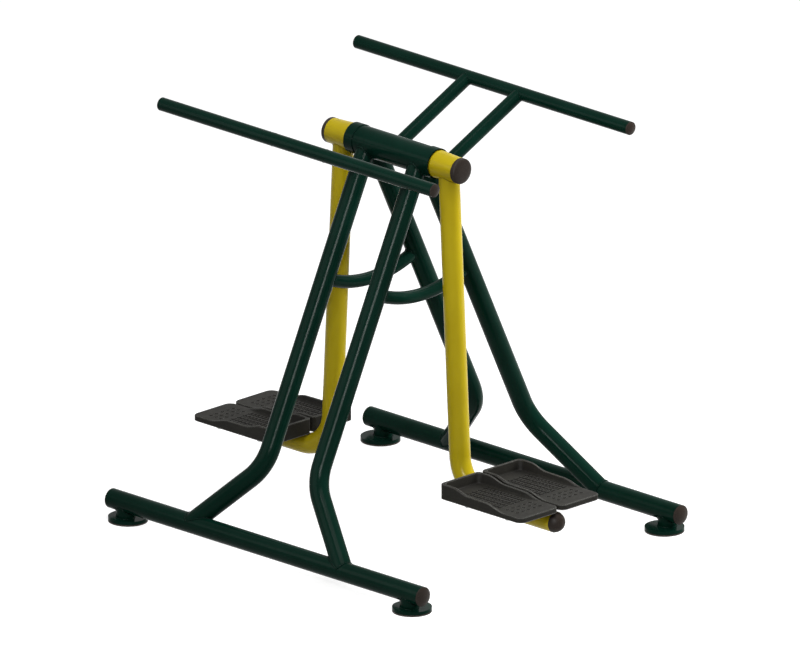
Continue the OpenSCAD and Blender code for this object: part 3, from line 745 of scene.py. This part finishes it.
def pendulum_beads(side):
    """The beads of one pendulum: the arm on its flared hub, the cross plates on the arm."""
    p = Piece()
    down_arm = Vector((math.sin(ARM_LEAN), 0, -math.cos(ARM_LEAN)))
    arm_top = Vector((ARM_X, 0, AXIS_Z))
    on_hub = ring_of(rod(arm_top + down_arm * 100, -down_arm, ARM_R),
                     in_cross_rod(0, AXIS_Z, HUB_R + 1.3), t_out=0, t_in=90)
    bead(p, mirrored(on_hub, side, REAR), HUB_BEAD, seed=70 + side)

    low, high = box_mm(SIDE_NAME[side] + "_front_footplate")
    plate_z, mid = low[2] - CROSS_PLATE_T, (low[0] + high[0]) / 2
    beside = math.sqrt(max(ARM_R ** 2 - (plate_z - arm_end_z(side)) ** 2, 0)) + 0.8
    for dx in (-BOSS_X, BOSS_X):
        for y in (-beside, beside):
            path = [(mid + dx + x, y, plate_z - 0.6) for x in (-PLATE_BEAD_HALF, PLATE_BEAD_HALF)]
            bead(p, path, PLATE_BEAD, seed=400 + dx + int(y) + side, closed=False)
    return p


def build_welds():
    beads = quarter_beads()
    seed = 0
    for side in SIDES:
        for end in ENDS:
            p = Piece()
            for path, r in beads:
                seed += 1
                bead(p, mirrored(path, side, end), r, seed)
            name = f"{END_NAME[end]}_{SIDE_NAME[side]}_welds"
            add_mesh(name, p, "green_paint", FIXED, sharp=60)

        p = Piece()
        x, r = side * (MAIN_HALF - COLLAR_COVER), MAIN_R + 0.2
        path = [Vector((x, r * math.cos(t), AXIS_Z + r * math.sin(t))) for t in turn(90)]
        bead(p, path, COLLAR_BEAD, seed=90 + side)
        add_mesh(f"{SIDE_NAME[side]}_collar_weld", p, "green_paint", FIXED, sharp=60)

        name = f"{SIDE_NAME[side]}_pendulum_welds"
        add_mesh(name, pendulum_beads(side), "yellow_paint", PENDULUM[side], sharp=60)


def build_flares():
    """The hub's paint and weld build it up towards its inner end, just outside the collar."""
    steps, root_r = 12, HUB_R - 1.0
    for side in SIDES:
        profile = [(root_r, FLARE_X), (FLARE_R - 0.5, FLARE_X), (FLARE_R, FLARE_X + FLARE_LIP)]
        for i in range(1, steps + 1):
            s = i / steps
            swell = (FLARE_R - HUB_R) * (1 - s) ** FLARE_FALL
            profile.append((HUB_R + swell, FLARE_X + FLARE_LIP + FLARE_L * s))
        profile.append((root_r, FLARE_X + FLARE_L + FLARE_LIP))
        p = Piece()
        p.skin([[Vector((side * x, r * math.cos(t), AXIS_Z + side * r * math.sin(t)))
                 for t in turn(120)] for r, x in profile], closed_run=True)
        name = SIDE_NAME[side] + "_hub_flare"
        add_mesh(name, p, "yellow_paint", PENDULUM[side], sharp=50)


build_caps()
build_flares()
build_pads()
build_footplates()
build_welds()

# ---------------------------------------------------------------- floor, light and camera

# The photograph: a parallel view, its width in pixels, its scale, and where its middle lies
PHOTO_AZIMUTH, PHOTO_ELEVATION = math.radians(45), math.radians(18.55)
PHOTO_WIDTH, PX_PER_MM = 800, 0.3375
VIEW_RIGHT, VIEW_UP, VIEW_BACK = 0.0111, 0.5137, 6.0
FLOOR_HALF = 40.0
# What lights the object, and what the camera, reflections and refractions see
FLOOR_PLAIN, FLOOR_SHADE, FLOOR_GLOW = 0.45, 0.5, 0.83
SKY_SOFT, SKY_WHITE = 0.24, 1.0


def grey(v):
    return (v, v, v, 1)


def show_by_ray(tree, output, plain, seen):
    """Gives 'seen' to the camera, reflections and refractions, and 'plain' to all other rays."""
    path = new_node(tree, "ShaderNodeLightPath")
    is_seen = path.outputs["Is Camera Ray"]
    for key in ("Is Glossy Ray", "Is Transmission Ray"):
        either = new_node(tree, "ShaderNodeMath", {0: is_seen, 1: path.outputs[key]},
                          operation="MAXIMUM")
        is_seen = either.outputs[0]
    mix = new_node(tree, "ShaderNodeMixShader",
                   {0: is_seen, 1: plain.outputs[0], 2: seen.outputs[0]})
    new_node(tree, output, {"Surface": mix.outputs[0]})


def build_floor():
    mesh = bpy.data.meshes.new("studio_floor")
    corners = [(x * FLOOR_HALF, y * FLOOR_HALF, 0) for x, y in ((-1, -1), (1, -1), (1, 1), (-1, 1))]
    mesh.from_pydata(corners, [], [(0, 1, 2, 3)])
    floor = bpy.data.objects.new("studio_floor", mesh)
    bpy.context.scene.collection.objects.link(floor)
    mat = bpy.data.materials.new("studio_floor")
    mat.use_nodes = True
    t = mat.node_tree
    t.nodes.clear()
    plain = new_node(t, "ShaderNodeBsdfDiffuse", {"Color": grey(FLOOR_PLAIN)})
    shade = new_node(t, "ShaderNodeBsdfDiffuse", {"Color": grey(FLOOR_SHADE)})
    glow = new_node(t, "ShaderNodeEmission", {"Strength": FLOOR_GLOW})
    seen = new_node(t, "ShaderNodeAddShader", {0: shade.outputs[0], 1: glow.outputs[0]})
    show_by_ray(t, "ShaderNodeOutputMaterial", plain, seen)
    mesh.materials.append(mat)


def build_world():
    world = bpy.data.worlds.new("studio")
    bpy.context.scene.world = world
    world.use_nodes = True
    t = world.node_tree
    t.nodes.clear()
    soft, white = (new_node(t, "ShaderNodeBackground", {"Color": grey(1), "Strength": strength})
                   for strength in (SKY_SOFT, SKY_WHITE))
    show_by_ray(t, "ShaderNodeOutputWorld", soft, white)


def face(obj, place, back):
    """Puts a lamp or a camera in its place, looking the other way than back."""
    obj.location = place
    obj.rotation_mode = "QUATERNION"
    obj.rotation_quaternion = (-back).to_track_quat("-Z", "Y")
    bpy.context.scene.collection.objects.link(obj)


def lamp(name, direction, distance, width, height, power):
    """An area lamp that faces the middle of the object."""
    data = bpy.data.lights.new(name, "AREA")
    data.shape = "RECTANGLE"
    data.size, data.size_y = width, height
    data.energy = power
    obj = bpy.data.objects.new(name, data)
    back = Vector(direction).normalized()
    face(obj, Vector((0, 0, 0.65)) + back * distance, back)
    return obj


def build_lamps():
    lamp("key", (0.585, -0.722, 0.37), 4.2, 0.7, 0.7, 42)
    lamp("top", (0.25, -0.2, 1.0), 3.6, 2.2, 2.2, 88)
    # A reflection of this one would draw a hard line on the rear tubes
    lamp("rim", (0.5, 0.86, 0.36), 4.0, 1.2, 1.2, 185).visible_glossy = False
    # Panels that only show as reflections
    for panel in (lamp("key_panel", (0.6, -0.71, 0.37), 4.0, 1.2, 1.6, 175),
                  lamp("top_panel", (0.04, -0.38, 0.92), 3.4, 0.6, 1.4, 50),
                  lamp("back_panel", (-0.05, 0.62, 0.75), 3.4, 2.0, 2.0, 75),
                  lamp("left_panel", (-0.31, -0.86, 0.41), 3.6, 3.4, 2.0, 55)):
        panel.visible_diffuse = False


def build_camera():
    level = math.cos(PHOTO_ELEVATION)
    back = Vector((math.sin(PHOTO_AZIMUTH) * level, -math.cos(PHOTO_AZIMUTH) * level,
                   math.sin(PHOTO_ELEVATION)))
    right = Vector((math.cos(PHOTO_AZIMUTH), math.sin(PHOTO_AZIMUTH), 0))
    up = back.cross(right)
    data = bpy.data.cameras.new("photo_camera")
    data.type = "ORTHO"
    data.ortho_scale = PHOTO_WIDTH / PX_PER_MM * MM
    data.clip_start, data.clip_end = 0.05, 60
    cam = bpy.data.objects.new("photo_camera", data)
    middle = Vector((0, 0, SKID_Z * MM)) + right * VIEW_RIGHT + up * VIEW_UP
    face(cam, middle + back * VIEW_BACK, back)
    bpy.context.scene.camera = cam


build_floor()
build_world()
build_lamps()
build_camera()
bpy.context.scene.view_settings.view_transform = "Standard"
